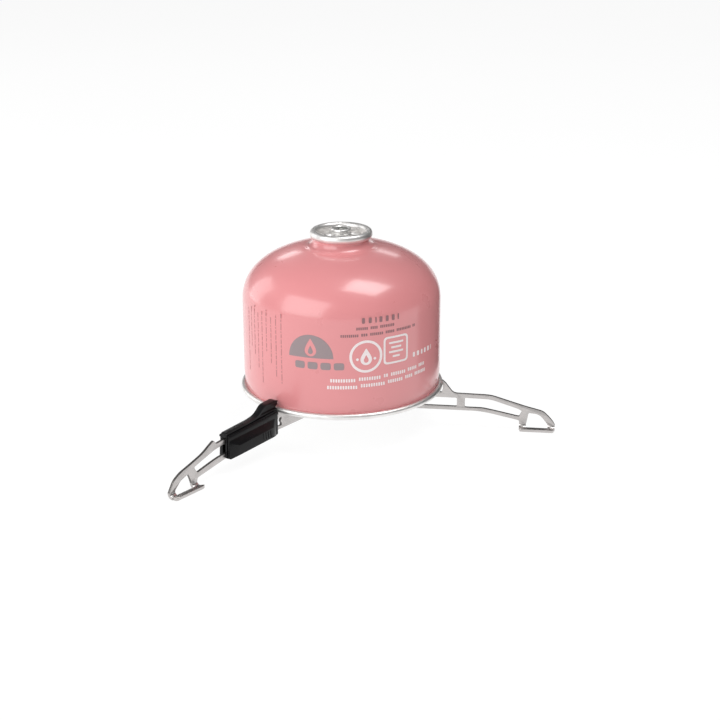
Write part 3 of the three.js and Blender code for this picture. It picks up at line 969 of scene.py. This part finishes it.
def dress(node: str, finish: bpy.types.Material, smooth_deg: float = 40.0) -> None:
    """Gives a CAD node that stays in view its finish.

    Args:
        node: the node's name.
        finish: its material.
        smooth_deg: edges under this angle are shaded smooth.
    """
    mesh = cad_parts[node].data
    mesh.materials.clear()
    mesh.materials.append(finish)
    mesh.shade_smooth()
    mesh.set_sharp_from_angle(angle=math.radians(smooth_deg))
    LOG.info("%s: kept from the packed model", node)


# ---------------------------------------------------------------- printed marks
class Ink(Enum):
    """The inks on the canister."""

    GREY = "grey_ink"
    DARK = "dark_ink"
    WHITE = "white_ink"
    SIDE = "side_ink"


@dataclass
class PrintedMarks:
    """Plain generic marks round the canister's body, drawn flat and wrapped on."""

    radius: float = 54.0
    lift: float = 0.03
    thickness: float = 0.05
    facing: float = math.radians(-52.2)
    stroke_pitch: float = 0.72
    stroke_fill: float = 0.66
    shortest_group: float = 0.4
    columns: int = 9
    column_start: float = -33.5
    column_step: float = 3.6
    column_width: float = 0.55
    column_gap: float = 0.7
    column_words: tuple[float, ...] = (2.6, 1.3, 3.7, 0.9, 2.1)
    made: int = field(default=0, init=False)

    def wrap(self, name: str, loops: Sequence[Sequence[Point]], ink: Ink, shelf: FinishShelf) -> None:
        """Wraps flat outlines round the body as one thin print.

        Args:
            name: the print's name.
            loops: outlines in millimetres, along the body and up it; inner ones are holes.
            ink: its ink.
            shelf: the finishes.
        """
        curve = bpy.data.curves.new(name, "CURVE")
        curve.dimensions = "2D"
        curve.fill_mode = "BOTH"
        curve.extrude = self.thickness / 2
        for loop in loops:
            spline = curve.splines.new("POLY")
            spline.points.add(len(loop) - 1)
            for point, (s, z) in zip(spline.points, loop):
                point.co = (s, z, 0, 1)
            spline.use_cyclic_u = True
        flat = bpy.data.objects.new(name, curve)
        bpy.context.scene.collection.objects.link(flat)
        graph = bpy.context.evaluated_depsgraph_get()
        mesh = bpy.data.meshes.new_from_object(flat.evaluated_get(graph))
        bpy.data.objects.remove(flat)
        bpy.data.curves.remove(curve)
        work = bmesh.new()
        work.from_mesh(mesh)
        bmesh.ops.remove_doubles(work, verts=work.verts, dist=1e-5)
        low = min(v.co.x for v in work.verts)
        high = max(v.co.x for v in work.verts)
        cut = math.floor(low) + 1.0
        while cut < high:
            everything = [*work.verts, *work.edges, *work.faces]
            bmesh.ops.bisect_plane(work, geom=everything, plane_co=(cut, 0, 0), plane_no=(1, 0, 0))
            cut += 1.5
        centre = Axis.canister()
        for vert in work.verts:
            angle = self.facing + vert.co.x / self.radius
            r = self.radius + self.lift + self.thickness / 2 + vert.co.z
            place = Vector((r * math.cos(angle), r * math.sin(angle), vert.co.y)) * MM
            vert.co = centre + place
        bpy.data.meshes.remove(mesh)
        self.made += 1
        Maker.piece(name, Maker.from_bmesh(name, work), getattr(shelf, ink.value), STAND_BODY,
                    Slot.ENAMEL, (), 30.0)

    @staticmethod
    def bar(s0: float, z0: float, s1: float, z1: float) -> list[Point]:
        """Draws a bar with round ends.

        Args:
            s0: one end, along the body.
            z0: its lower edge.
            s1: the other end.
            z1: its upper edge.

        Returns:
            The bar's outline.
        """
        r = min(abs(s1 - s0), abs(z1 - z0)) * 0.3
        corners = [(s0, z0, r), (s1, z0, r), (s1, z1, r), (s0, z1, r)]
        return [(p.x, p.y) for p in Outline.rounded(corners, 3)]

    @staticmethod
    def disc(s: float, z: float, radius: float, steps: int = 40) -> list[Point]:
        """Returns a circle."""
        return arc((s, z), radius, 0, 360 - 360 / steps, steps - 1)

    def line_of_strokes(self, name: str, s0: float, s1: float, z: float, height: float,
                        lengths: Sequence[float], gap: float, ink: Ink, shelf: FinishShelf,
                        slope: float = 0.0) -> None:
        """Prints a row of short strokes in groups that stands for a line of small print.

        Args:
            name: the print's name.
            s0: where the row starts.
            s1: where it ends.
            z: its height at the start.
            height: the strokes' height.
            lengths: the groups' lengths, repeated.
            gap: the space between groups.
            ink: its ink.
            shelf: the finishes.
            slope: rise per millimetre.
        """
        loops = []
        s = s0
        index = 0
        while s < s1:
            length = min(lengths[index % len(lengths)], s1 - s)
            rise = (s - s0) * slope
            strokes = max(1, round(length / (height * self.stroke_pitch)))
            pitch = length / strokes
            for k in range(strokes if length > self.shortest_group else 0):
                left = s + k * pitch
                right = left + pitch * self.stroke_fill
                loops.append(self.bar(left, z + rise, right, z + rise + height))
            s += length + gap
            index += 1
        self.wrap(name, loops, ink, shelf)

    @staticmethod
    def drop(s: float, z: float, width: float, height: float, steps: int = 36) -> list[Point]:
        """Returns a drop with its point upward.

        Args:
            s: its middle, along the body.
            z: the middle of its round end.
            width: its width.
            height: its height from the round end's middle to the point.
            steps: points round it.

        Returns:
            The drop's outline.
        """
        points = []
        for k in range(steps):
            angle = 2 * math.pi * k / steps
            up = math.cos(angle)
            taper = 1.0 - max(0.0, up) ** 1.5 * 0.75
            reach = height if up > 0 else width / 2
            points.append((s + width / 2 * math.sin(angle) * taper, z + reach * up))
        return points

    def emblem(self, shelf: FinishShelf) -> None:
        """Prints the grey dome with a drop cut in it, over a row of blocks.

        Args:
            shelf: the finishes.
        """
        middle, low, half, tall = -16.0, 54.8, 12.2, 12.6
        dome = [(middle + half * math.cos(a), low + tall * math.sin(a)) for a in
                (math.pi * k / 32 for k in range(33))]
        flame = self.drop(middle, low + 4.0, 6.4, 6.6)
        core = self.drop(middle, low + 3.4, 2.6, 3.2)
        self.wrap("grey_dome", [dome, flame, core], Ink.GREY, shelf)
        blocks = [self.bar(-24.6 + 7.0 * k, 48.7, -19.2 + 7.0 * k, 52.6) for k in range(4)]
        self.wrap("grey_blocks", blocks, Ink.GREY, shelf)

    def title(self, shelf: FinishShelf) -> None:
        """Prints the dark heading and its two lines.

        Args:
            shelf: the finishes.
        """
        self.line_of_strokes("dark_heading", 11.2, 33.2, 73.8, 3.0, (2.3, 2.3, 1.0, 2.3), 1.3,
                             Ink.DARK, shelf)
        self.line_of_strokes("dark_line_upper", 8.2, 30.0, 70.3, 1.5, (6.4, 4.1, 8.4), 1.2,
                             Ink.DARK, shelf, 0.02)
        self.line_of_strokes("dark_line_lower", 0.0, 43.5, 66.6, 1.5, (9.6, 3.6, 7.4, 5.4), 1.2,
                             Ink.DARK, shelf, 0.02)

    @staticmethod
    def rounded_square(s: float, z: float, half: float, reach: float) -> list[Point]:
        """Draws a square with round corners.

        Args:
            s: its middle, along the body.
            z: the height of its middle.
            half: half its side.
            reach: how far each corner's rounding goes.

        Returns:
            The square's outline.
        """
        corners = [(s + a * half, z + b * half, reach) for a, b in ((-1, -1), (1, -1), (1, 1), (-1, 1))]
        return [(p.x, p.y) for p in Outline.rounded(corners, 5)]

    def badges(self, shelf: FinishShelf) -> None:
        """Prints the two white badges and the word beside them.

        Args:
            shelf: the finishes.
        """
        s, z = 13.4, 55.7
        ring = [self.disc(s, z, 8.9, 56), self.disc(s, z, 7.5, 52)]
        inner = [self.drop(s, z - 1.6, 6.2, 6.0), self.drop(s, z - 2.1, 2.6, 2.9)]
        dots = [self.disc(s + side * 4.7, z - 1.4, 0.75, 14) for side in (-1, 1)]
        self.wrap("round_badge", [*ring, *inner, *dots], Ink.WHITE, shelf)
        s, z = 30.6, 57.4
        loops = [self.rounded_square(s, z, 7.6, 2.4), self.rounded_square(s, z, 6.5, 1.6)]
        for k, reach in enumerate((4.4, 3.1, 4.4, 2.2)):
            level = z + 3.4 - 2.5 * k
            loops.append(self.bar(s - reach, level, s + reach, level + 1.1))
        self.wrap("square_badge", loops, Ink.WHITE, shelf)
        self.line_of_strokes("white_word", 42.0, 59.0, 50.4, 2.7, (2.3, 2.6, 1.9), 0.9,
                             Ink.WHITE, shelf)

    def small_print(self, shelf: FinishShelf) -> None:
        """Prints the two white lines and the upright columns at the side.

        Args:
            shelf: the finishes.
        """
        self.line_of_strokes("white_line_upper", -5.5, 51.8, 41.9, 1.9, (13.5, 12.2, 2.7, 9.5, 6.8), 1.5,
                             Ink.WHITE, shelf, 0.035)
        self.line_of_strokes("white_line_lower", -7.2, 52.8, 38.1, 1.9, (16.2, 13.6, 9.5, 5.4), 1.5,
                             Ink.WHITE, shelf, 0.035)
        for column in range(self.columns):
            s = self.column_start - self.column_step * column
            z = 76.5 - 1.7 * (column % 3)
            bottom = 38.0 + 5.5 * ((column * 5) % 4)
            loops = []
            index = column
            while z > bottom:
                length = self.column_words[index % len(self.column_words)]
                loops.append(self.bar(s, z - length, s + self.column_width, z))
                z -= length + self.column_gap
                index += 1
            self.wrap(f"side_column_{column + 1}", loops, Ink.SIDE, shelf)

    def build(self, shelf: FinishShelf) -> None:
        """Prints every mark.

        Args:
            shelf: the finishes.
        """
        self.emblem(shelf)
        self.title(shelf)
        self.badges(shelf)
        self.small_print(shelf)
        LOG.info("%d prints", self.made)


# ---------------------------------------------------------------- stand
@dataclass
class Stand:
    """Three stamped legs on one rivet."""

    edge: float = 0.00016
    strip_top: float = 3.3
    eye_reach: float = 19.0
    legs: tuple[tuple[str, str, float], ...] = (
        ("fixed_leg", STAND_BODY, -90.0),
        ("right_leg", "right_leg", 30.0),
        ("rear_leg", "rear_leg", 150.0),
    )

    def mark_edges(self, mesh: bpy.types.Mesh, azimuth: float) -> None:
        """Gives the blade's punched edges their darker finish.

        Args:
            mesh: the leg's mesh.
            azimuth: the way that the leg points, in radians.
        """
        across = Vector((-math.sin(azimuth), math.cos(azimuth), 0))
        along = Vector((math.cos(azimuth), math.sin(azimuth), 0))
        centre = Axis.canister()
        for face in mesh.polygons:
            reach = (face.center - centre).dot(along)
            on_blade = face.center.z > self.strip_top * MM and reach > self.eye_reach * MM
            if on_blade and abs(face.normal.dot(across)) < 0.5:
                face.material_index = 1

    def build(self, shelf: FinishShelf) -> None:
        """Builds and dresses the legs and the hub.

        Args:
            shelf: the finishes.
        """
        for node, body, azimuth in self.legs:
            finish = RolledSheet(f"stainless_{node}", math.radians(azimuth)).material()
            mesh = Maker.eased(f"{node}_sheet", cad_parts[node].data.copy(), self.edge)
            Maker.piece(f"{node}_sheet", mesh, finish, body, Slot.STAINLESS, [node])
            mesh.materials.append(shelf.punched)
            self.mark_edges(mesh, math.radians(azimuth))
        hub = RolledSheet("stainless_hub", 0.0).material()
        for node in ("pivot_rivet", "washer_upper", "washer_middle", "washer_lower"):
            dress(node, hub)


@dataclass
class Clamp:
    """Black sliding clamp on the fixed leg."""

    body: str = "clamp"
    edge: float = 0.0003
    plane: float = -1.7
    near: float = 2.2
    base: float = 2.9
    face: float = 5.4
    lip: float = 3.8
    inner: float = 56.6
    outer: float = 95.4

    def place(self, reach: float, side: float, height: float) -> Vector:
        """Returns a point from its reach along the leg, its side step and its height."""
        return Axis.canister() + Vector((self.plane + side, -reach, height)) * MM

    def hull(self, corners: Iterable[Corner]) -> bpy.types.Mesh:
        """Closes a convex block round its corners.

        Args:
            corners: reach, side and height of each corner.

        Returns:
            The block.
        """
        work = bmesh.new()
        for reach, side, height in corners:
            work.verts.new(self.place(reach, side, height))
        made = bmesh.ops.convex_hull(work, input=work.verts)
        loose = [g for g in made["geom_interior"] if isinstance(g, bmesh.types.BMVert)]
        bmesh.ops.delete(work, geom=loose, context="VERTS")
        bmesh.ops.dissolve_limit(work, angle_limit=0.01, verts=work.verts, edges=work.edges)
        return Maker.from_bmesh("block", work)

    def plate(self, side: int) -> bpy.types.Mesh:
        """Returns a grip's flat plate.

        Args:
            side: 1 for the right grip, -1 for the left one.

        Returns:
            The plate.
        """
        outline = Outline.rounded([
            (self.outer, 8.0, 0.6), (self.outer, 20.8, 0.6), (75.7, 21.9, 3), (58.9, 23.3, 1),
            (self.inner, 22.8, 0.6), (self.inner, 9.6, 0.6), (60, 9.1, 3),
        ], 4)
        work = bmesh.new()
        low = [work.verts.new(self.place(p.x, side * self.near, p.y)) for p in outline]
        high = [work.verts.new(self.place(p.x, side * self.base, p.y)) for p in outline]
        work.faces.new(low)
        work.faces.new(list(reversed(high)))
        for k in range(len(low)):
            n = (k + 1) % len(low)
            work.faces.new((low[k], high[k], high[n], low[n]))
        return Maker.from_bmesh("plate", work)

    def boss(self, side: int) -> bpy.types.Mesh:
        """Shapes a grip's raised pad with its four slopes.

        Args:
            side: 1 for the right grip, -1 for the left one.

        Returns:
            The pad.
        """
        foot, top = side * (self.base - 0.4), side * self.face
        low = [(58.4, foot, 9.3), (58.4, foot, 19.7), (95.2, foot, 18.3), (95.2, foot, 8.1)]
        mid = [(95.2, side * 4.0, 8.2), (58.6, side * 3.4, 9.4), (95.2, side * 3.3, 16.6)]
        high = [(62.6, top, 10.4), (62.9, top, 15.9), (89.4, top, 14.6), (90.3, top, 9.2)]
        return self.hull([*low, *mid, *high])

    def ledge(self, side: int) -> bpy.types.Mesh:
        """Shapes the lip along a grip's upper edge.

        Args:
            side: 1 for the right grip, -1 for the left one.

        Returns:
            The lip.
        """
        near, far = side * (self.base - 0.3), side * self.lip
        ends = ((57.0, 21.2, 22.5), (self.outer - 0.2, 19.3, 20.5))
        return self.hull([(reach, step, height) for reach, *heights in ends for height in heights
                          for step in (near, far - side * 0.3 * (height == heights[1]))])

    def thumb_ribs(self, side: int) -> list[bpy.types.Mesh]:
        """Shapes the low ribs at the pad's inner end.

        Args:
            side: 1 for the right grip, -1 for the left one.

        Returns:
            The ribs.
        """
        ribs = []
        for k in range(4):
            reach = 64.6 + 1.9 * k
            step = side * (self.face - 0.3), side * (self.face + 0.22)
            ribs.append(self.hull([(reach + a + 0.28 * (z - 13) / 2, step[b], z) for z in (11.2, 15.0)
                                   for a in (0.0, 0.7) for b in (0, 1)]))
        return ribs

    def scoop(self, side: int) -> bpy.types.Mesh:
        """Shapes the tool that hollows the fin's side.

        Args:
            side: 1 for the right side, -1 for the left one.

        Returns:
            The tool.
        """
        deep, out = side * 1.15, side * 2.6
        corners = [(53.0, 24.3), (53.0, 27.2), (64.6, 27.2), (68.8, 23.9)]
        wide = [(53.0, 24.0), (53.0, 27.9), (65.0, 27.9), (69.8, 23.6)]
        return self.hull([*[(r, deep, z) for r, z in corners], *[(r, out, z) for r, z in wide]])

    def build(self, shelf: FinishShelf) -> None:
        """Builds and dresses the clamp.

        Args:
            shelf: the finishes.
        """
        scoops = [self.scoop(1), self.scoop(-1)]
        saddle = Maker.combined(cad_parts["clamp_saddle"].data, scoops, Joining.CUT)
        saddle = Maker.eased("clamp_saddle_moulding", saddle, self.edge, 3)
        Maker.piece("clamp_saddle_moulding", saddle, shelf.nylon, self.body, Slot.NYLON,
                    ["clamp_saddle"])
        for node, side in (("grip_right", 1), ("grip_left", -1)):
            extras = [self.boss(side), self.ledge(side), *self.thumb_ribs(side)]
            grip = Maker.combined(self.plate(side), extras, Joining.ADD)
            grip = Maker.eased(f"{node}_moulding", grip, self.edge, 3)
            Maker.piece(f"{node}_moulding", grip, shelf.nylon, self.body, Slot.NYLON, [node])
        pin = RolledSheet("stainless_pin", 0.0).material()
        dress("clamp_pin_inner", pin)
        dress("clamp_pin_outer", pin)


# ---------------------------------------------------------------- studio
@dataclass
class Studio:
    """Pale floor, soft lights and the camera."""

    turn_deg: float = 37.8
    aim: tuple[float, float, float] = (11.22, 0.0, 34.92)
    eye: tuple[float, float, float] = (11.22, -854.33, 341.49)
    lens: float = 81.96
    shift: Point = (-0.0032, 0.0002)
    roll_deg: float = -0.15
    floor_half: float = 20.0
    floor_glow: float = 0.905
    room_back: float = 0.13
    room_front: float = 0.26
    room_bearing: float = -50.0
    lamp_aim: float = 60.0
    lamp_reach: float = 1.4

    def turned(self, place: Sequence[float]) -> Vector:
        """Turns a place given from the canister's front into the row frame."""
        spin = Matrix.Rotation(math.radians(self.turn_deg), 3, "Z")
        return spin @ (Vector(place) * MM) + Axis.canister()

    def camera(self) -> None:
        """Adds the camera."""
        data = bpy.data.cameras.new("camera")
        data.lens = self.lens
        data.shift_x, data.shift_y = self.shift
        data.clip_start, data.clip_end = 0.05, 50.0
        camera = bpy.data.objects.new("camera", data)
        bpy.context.scene.collection.objects.link(camera)
        eye, aim = self.turned(self.eye), self.turned(self.aim)
        look = (aim - eye).to_track_quat("-Z", "Y").to_matrix()
        roll = Matrix.Rotation(math.radians(self.roll_deg), 3, "Z")
        camera.matrix_world = Matrix.Translation(eye) @ (look @ roll).to_4x4()
        bpy.context.scene.camera = camera

    def lamp(self, name: str, place: Sequence[float], aim: Sequence[float], size: Point,
             watts: float) -> None:
        """Adds a soft box.

        Args:
            name: the lamp's name.
            place: where it hangs, seen from the canister's front, in millimetres.
            aim: the place that it points at.
            size: its width and height in metres.
            watts: its power.
        """
        data = bpy.data.lights.new(name, "AREA")
        data.shape = "RECTANGLE"
        data.size, data.size_y = size
        data.energy = watts
        lamp = bpy.data.objects.new(name, data)
        bpy.context.scene.collection.objects.link(lamp)
        start, end = self.turned(place), self.turned(aim)
        facing = (end - start).to_track_quat("-Z", "Y").to_matrix().to_4x4()
        lamp.matrix_world = Matrix.Translation(start) @ facing

    def floor(self) -> None:
        """Adds the pale floor, a little lit from below."""
        work = bmesh.new()
        bmesh.ops.create_grid(work, x_segments=4, y_segments=4, size=self.floor_half)
        mesh = bpy.data.meshes.new("floor")
        work.to_mesh(mesh)
        work.free()
        sheet = NodeSheet("pale_floor")
        sheet.set(Specular_IOR_Level=0.05, Roughness=0.9, Emission_Color=(1, 1, 1, 1),
                  Emission_Strength=self.floor_glow)
        tone = sheet.noise(sheet.place((1, 1, 1)), 3.0, 2.0)
        colour = sheet.blend(sheet.spread(tone, 0.3, 0.7, 0.0, 1.0), (0.14, 0.14, 0.14), (0.13, 0.13, 0.13))
        mesh.materials.append(sheet.surface(colour))
        floor = bpy.data.objects.new("floor", mesh)
        bpy.context.scene.collection.objects.link(floor)
        floor.location.z = -0.0003

    def card(self, name: str, place: Sequence[float], aim: Sequence[float], size: Point) -> None:
        """Stands up a dark card that only shows in reflections.

        Args:
            name: the card's name.
            place: its middle, seen from the canister's front, in millimetres.
            aim: the place that it faces.
            size: its width and height in metres.
        """
        work = bmesh.new()
        bmesh.ops.create_grid(work, x_segments=1, y_segments=1, size=0.5)
        bmesh.ops.scale(work, vec=(*size, 1), verts=work.verts)
        mesh = bpy.data.meshes.new(name)
        work.to_mesh(mesh)
        work.free()
        sheet = NodeSheet(name)
        sheet.set(Roughness=0.95, Specular_IOR_Level=0.0)
        tone = sheet.noise(sheet.place((1, 1, 1)), 4.0, 2.0)
        mesh.materials.append(sheet.surface(sheet.blend(tone, (0.05, 0.05, 0.05), (0.07, 0.07, 0.07))))
        card = bpy.data.objects.new(name, mesh)
        bpy.context.scene.collection.objects.link(card)
        start, end = self.turned(place), self.turned(aim)
        facing = (end - start).to_track_quat("Z", "Y").to_matrix().to_4x4()
        card.matrix_world = Matrix.Translation(start) @ facing
        card.visible_camera = False
        card.visible_diffuse = False
        card.visible_shadow = False
        card.visible_transmission = False

    def world(self) -> None:
        """Fills the room with soft light, brighter in front than behind."""
        world = bpy.data.worlds.new("room")
        world.use_nodes = True
        tree = world.node_tree
        background = tree.nodes["Background"]
        bearing = math.radians(self.room_bearing)
        front = self.turned((math.sin(bearing), -math.cos(bearing), 0)) - Axis.canister()
        where = tree.nodes.new("ShaderNodeTexCoord").outputs["Generated"]
        facing = tree.nodes.new("ShaderNodeVectorMath")
        facing.operation = "DOT_PRODUCT"
        facing.inputs[1].default_value = front.normalized()
        tree.links.new(where, facing.inputs[0])
        ramp = tree.nodes.new("ShaderNodeMapRange")
        ramp.interpolation_type = "SMOOTHSTEP"
        ramp.inputs["From Min"].default_value = -0.7
        ramp.inputs["From Max"].default_value = 0.5
        ramp.inputs["To Min"].default_value = self.room_back
        ramp.inputs["To Max"].default_value = self.room_front
        tree.links.new(facing.outputs["Value"], ramp.inputs["Value"])
        tree.links.new(ramp.outputs["Result"], background.inputs["Strength"])
        background.inputs["Color"].default_value = (1, 1, 1, 1)
        bpy.context.scene.world = world

    def softbox(self, name: str, azimuth: float, elevation: float, width: float, height: float,
                glow: float) -> None:
        """Hangs a soft box where it is seen from the canister in a given direction.

        Args:
            name: the lamp's name.
            azimuth: its bearing in degrees, 0 towards the camera and positive to the right.
            elevation: its height in degrees.
            width: its apparent width in degrees.
            height: its apparent height in degrees.
            glow: its brightness, 1 being a white floor's.
        """
        a, e = math.radians(azimuth), math.radians(elevation)
        way = Vector((math.sin(a) * math.cos(e), -math.cos(a) * math.cos(e), math.sin(e)))
        aim = Vector((0, 0, self.lamp_aim))
        place = aim + way * self.lamp_reach / MM
        size = tuple(2 * self.lamp_reach * math.tan(math.radians(span / 2)) for span in (width, height))
        watts = glow * math.pi * size[0] * size[1]
        self.lamp(name, place, aim, size, watts)

    def build(self) -> None:
        """Sets up the whole studio."""
        bpy.context.scene.view_settings.view_transform = "Standard"
        self.camera()
        self.floor()
        self.world()
        self.card("side_card", (118, 34, 60), (54, 0, 60), (0.12, 0.12))
        self.softbox("window_left", -46, 26, 50, 44, 2.9)
        self.softbox("window_far_left", -118, 14, 26, 44, 1.8)
        self.softbox("overhead", 75, 70, 26, 32, 6.6)
        self.softbox("slot_left", -163, 24, 9, 7, 3.0)
        self.softbox("slot_right", 167, 25, 8, 5, 3.0)


def main() -> None:
    """Builds every piece and the studio."""
    logging.basicConfig(level=logging.INFO, format="%(name)s: %(message)s")
    shelf = FinishShelf()
    Studio().build()
    Canister().build(shelf)
    PrintedMarks().build(shelf)
    Stand().build(shelf)
    Clamp().build(shelf)


if __name__ == "__main__":
    main()
